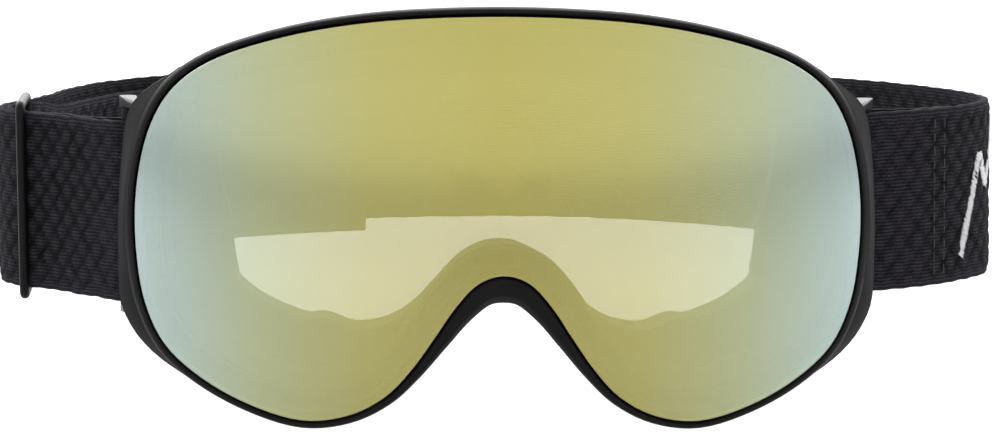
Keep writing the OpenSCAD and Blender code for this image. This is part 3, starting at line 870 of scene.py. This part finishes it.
def webbingMaterial():
    mat, nodes, links, shader = newMaterial("quiltedWebbing")
    uvNode = nodes.new("ShaderNodeUVMap")
    uvNode.uv_map = "weave"
    coord = uvNode.outputs["UV"]
    knit = nodes.new("ShaderNodeTexWave")
    knit.wave_type = "BANDS"
    knit.bands_direction = "Y"
    knit.inputs["Scale"].default_value = 38
    knit.inputs["Distortion"].default_value = 6
    knit.inputs["Detail"].default_value = 4
    knit.inputs["Detail Scale"].default_value = 9
    links.new(coord, knit.inputs["Vector"])
    fuzz = noiseNode(nodes, links, coord, 260, 6, 0.75)
    both = nodes.new("ShaderNodeMath")
    both.operation = "ADD"
    links.new(knit.outputs["Fac"], both.inputs[0])
    links.new(fuzz.outputs["Fac"], both.inputs[1])
    half = nodes.new("ShaderNodeMath")
    half.operation = "MULTIPLY"
    half.inputs[1].default_value = 0.5
    links.new(both.outputs[0], half.inputs[0])
    yarn = rampNode(nodes, links, half.outputs[0], [
        (0.25, (0.0045, 0.004, 0.0052)), (0.55, (0.0125, 0.0115, 0.0145)), (0.85, (0.032, 0.03, 0.037))])
    # painted shade in the quilting grooves and painted highlight on the puffed tops, multiplied into the
    # yarn colour
    quiltPaintedShade = nodes.new("ShaderNodeAttribute")
    quiltPaintedShade.attribute_name = "quiltPaintedShade"
    grooveShadeRamp = rampNode(nodes, links, quiltPaintedShade.outputs["Fac"],
                      [(0.25, grey(0.1)), (0.6, grey(0.85)), (0.95, grey(2.2))])
    shade = nodes.new("ShaderNodeMix")
    shade.data_type = "RGBA"
    shade.blend_type = "MULTIPLY"
    shade.inputs["Factor"].default_value = 1
    links.new(yarn.outputs["Color"], shade.inputs["A"])
    links.new(grooveShadeRamp.outputs["Color"], shade.inputs["B"])
    links.new(shade.outputs["Result"], shader.inputs["Base Color"])
    shader.inputs["Roughness"].default_value = 0.92
    shader.inputs["Specular IOR Level"].default_value = 0.12
    shader.inputs["Sheen Weight"].default_value = 0.03
    shader.inputs["Sheen Roughness"].default_value = 0.45
    shader.inputs["Sheen Tint"].default_value = (0.8, 0.75, 0.95, 1)
    bumpFrom(nodes, links, half.outputs[0], 0.6, 0.0005, shader)
    return mat


webbingMat = webbingMaterial()
strapPiece = finishMesh(makeStrap(), "strapWebbing", "head_strap", webbingMat, slot="webbing")
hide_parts("strap")
print("goggles: strap", round(strapLength), "mm long,", len(strapPiece.data.polygons), "faces")


def threadMaterial(name, low, high, rough):
    mat, nodes, links, shader = newMaterial(name)
    coord = nodes.new("ShaderNodeTexCoord").outputs["Object"]
    twist = nodes.new("ShaderNodeTexWave")
    twist.inputs["Scale"].default_value = 900
    twist.inputs["Distortion"].default_value = 2
    links.new(coord, twist.inputs["Vector"])
    tint = rampNode(nodes, links, twist.outputs["Fac"], [(0.2, low), (0.8, high)])
    links.new(tint.outputs["Color"], shader.inputs["Base Color"])
    shader.inputs["Roughness"].default_value = rough
    shader.inputs["Sheen Weight"].default_value = 0.3
    bumpFrom(nodes, links, twist.outputs["Fac"], 0.4, 0.0001, shader)
    return mat


blackThread = threadMaterial("blackThread", (0.006, 0.006, 0.007), (0.016, 0.015, 0.018), 0.85)
whiteThread = threadMaterial("whiteThread", (0.72, 0.72, 0.76), (0.97, 0.97, 1.0), 0.35)


def layThread(bm, a, b, high, wide=0.5, tall=0.34):
    made = bmesh.ops.create_icosphere(bm, subdivisions=2, radius=0.5)["verts"]
    length = math.hypot(b[0] - a[0], b[1] - a[1])
    turn = math.atan2(b[1] - a[1], b[0] - a[0])
    ca, sa = math.cos(turn), math.sin(turn)
    for v in made:
        x, y, z = v.co.x * length, v.co.y * wide, v.co.z * tall
        s = (a[0] + b[0]) / 2 + x * ca - y * sa
        h = (a[1] + b[1]) / 2 + x * sa + y * ca
        v.co = bendStrap(s, high + z, h)


ridgeSpec = {
    "line": [(27, -15), (36, 9), (40, 1), (48.5, 16), (56, 1), (60, 8), (69, -15)],
    "width": 3.2, "pitch": 0.46,
}


def makeRidge():
    bm = bmesh.new()
    pts = [Vector((freeStart + s, z)) for s, z in ridgeSpec["line"]]
    rnd = random.Random(11)
    half = ridgeSpec["width"] / 2
    base = strapSpec["thick"] / 2
    for a, b in zip(pts, pts[1:]):
        d = (b - a).normalized()
        side = Vector((d.y, -d.x)) * 0.9 + Vector((0, 1)) * 0.25 * (1 if d.x * d.y < 0 else -1)
        side = side.normalized()
        count = int((b - a).length / ridgeSpec["pitch"])
        for k in range(count + 1):
            p = a + d * (k * ridgeSpec["pitch"])
            slack = half * (1 + rnd.uniform(-0.12, 0.14))
            tilt = d * rnd.uniform(-0.18, 0.18)
            lift = base + 0.34 + rnd.uniform(-0.05, 0.08)
            layThread(bm, p - side * slack - tilt, p + side * slack + tilt, lift, 0.46, 0.36)
    return bm


ridgePiece = finishMesh(makeRidge(), "peakEmbroidery", "head_strap", whiteThread, slot="white_thread")
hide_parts("embroidery")


def makeStitchRows(columns, drop=0.0):
    bm = bmesh.new()
    count = int((strapSpec["width"] - 5) / 3.2)
    for s in columns:
        for k in range(count + 1):
            z = (k - count / 2) * 3.2
            layThread(bm, (s, z - 1.25), (s, z + 1.25), strapSpec["thick"] / 2 + 0.3, 0.55, 0.4)
    return bm


loopRows = finishMesh(makeStitchRows([freeStart + 17, freeStart + 20.5]), "loopStitching", "head_strap",
                       blackThread, slot="thread")
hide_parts("stitches_loop")
tailRows = finishMesh(makeStitchRows([strapLength - 2.5, strapLength - 5]), "tailStitching", "head_strap",
                      blackThread, slot="thread")
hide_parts("stitches_tail")
print("goggles: stitching")


def makeRing():
    s = strapSpec
    near = onBend(s["outer"] + s["thick"] / 2 + 0.35 + 1.2, -49)
    far = onBend(s["inner"] - s["thick"] / 2 - 0.35 - 1.2, 20)
    half = 23.0
    corner = 1.6
    bm = bmesh.new()
    path = []
    a, b = Vector((near.x, near.y, 0)), Vector((far.x, far.y, 0))
    run = (b - a).normalized()
    up = Vector((0, 0, 1))
    for centre, start in ((a + run * corner + up * (half - corner), 180),
                          (b - run * corner + up * (half - corner), 90),
                          (b - run * corner - up * (half - corner), 0),
                          (a + run * corner - up * (half - corner), -90)):
        for k in range(7):
            t = math.radians(start - 15 * k)
            path.append(centre + run * math.cos(t) * corner + up * math.sin(t) * corner)
    curve = bpy.data.curves.new("slideRing", "CURVE")
    curve.dimensions = "3D"
    line = curve.splines.new("POLY")
    line.points.add(len(path) - 1)
    line.use_cyclic_u = True
    for p, q in zip(line.points, path):
        at = leanTurn @ q
        at.z += s["rise"]
        p.co = (*(at * mm), 1)
    curve.bevel_depth = 1.2 * mm
    curve.bevel_resolution = 5
    loose = bpy.data.objects.new("slideRingLine", curve)
    scene.collection.objects.link(loose)
    bpy.context.view_layer.update()
    mesh = bpy.data.meshes.new_from_object(loose.evaluated_get(bpy.context.evaluated_depsgraph_get()))
    bpy.data.objects.remove(loose)
    bm.from_mesh(mesh)
    bpy.data.meshes.remove(mesh)
    bmesh.ops.remove_doubles(bm, verts=bm.verts, dist=1e-6)
    bmesh.ops.recalc_face_normals(bm, faces=bm.faces)
    return bm


ringPiece = finishMesh(makeRing(), "slideRing", "adjuster", ringMat, slot="ring_plastic")
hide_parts("slide_ring")
print("goggles: slide ring")


studio = {"distance": 0.835, "azimuth": -2.0, "elevation": 7.0, "roll": -0.4,
          "target": (0, -0.010, 0), "focal": 129.73, "floor": -0.12}


def makeStudio():
    s = studio
    world = bpy.data.worlds.new("softRoom")
    scene.world = world
    world.use_nodes = True
    world.node_tree.nodes["Background"].inputs["Color"].default_value = (1, 1, 1, 1)
    world.node_tree.nodes["Background"].inputs["Strength"].default_value = 0.85
    scene.view_settings.view_transform = "Standard"

    bm = bmesh.new()
    bmesh.ops.create_grid(bm, x_segments=1, y_segments=1, size=12)
    mesh = bpy.data.meshes.new("studioFloor")
    bm.to_mesh(mesh)
    bm.free()
    floor = bpy.data.objects.new("studioFloor", mesh)
    floor.location.z = s["floor"]
    scene.collection.objects.link(floor)
    mat, nodes, links, shader = newMaterial("paleFloor")
    shader.inputs["Base Color"].default_value = (0.52, 0.52, 0.52, 1)
    shader.inputs["Roughness"].default_value = 0.95
    shader.inputs["Specular IOR Level"].default_value = 0.0
    mesh.materials.append(mat)

    for name, at, aim, power, wide, deep in (
            ("backLight", (0, 2.1, 0.7), (0, 2.1, 0), 110, 3.2, 3.4),
            ("topLight", (0, 0.35, 1.0), (0, 0, 0), 0.4, 1.6, 0.5)):
        light = bpy.data.lights.new(name, "AREA")
        light.shape = "RECTANGLE"
        light.energy = power
        light.size = wide
        light.size_y = deep
        lamp = bpy.data.objects.new(name, light)
        lamp.location = at
        lamp.rotation_euler = (Vector(aim) - Vector(at)).to_track_quat("-Z", "Y").to_euler()
        scene.collection.objects.link(lamp)

    az, el = math.radians(s["azimuth"]), math.radians(s["elevation"])
    target = Vector(s["target"])
    away = Vector((math.sin(az) * math.cos(el), -math.cos(az) * math.cos(el), math.sin(el)))
    camData = bpy.data.cameras.new("mainView")
    camData.lens = s["focal"]
    camData.sensor_width = 36
    camData.clip_start = 0.01
    camera = bpy.data.objects.new("mainView", camData)
    camera.location = target + away * s["distance"]
    look = (-away).to_track_quat("-Z", "Y").to_matrix()
    camera.rotation_euler = (look @ Matrix.Rotation(math.radians(-s["roll"]), 3, "Z")).to_euler()
    scene.collection.objects.link(camera)
    scene.camera = camera


makeStudio()
print("goggles: studio")
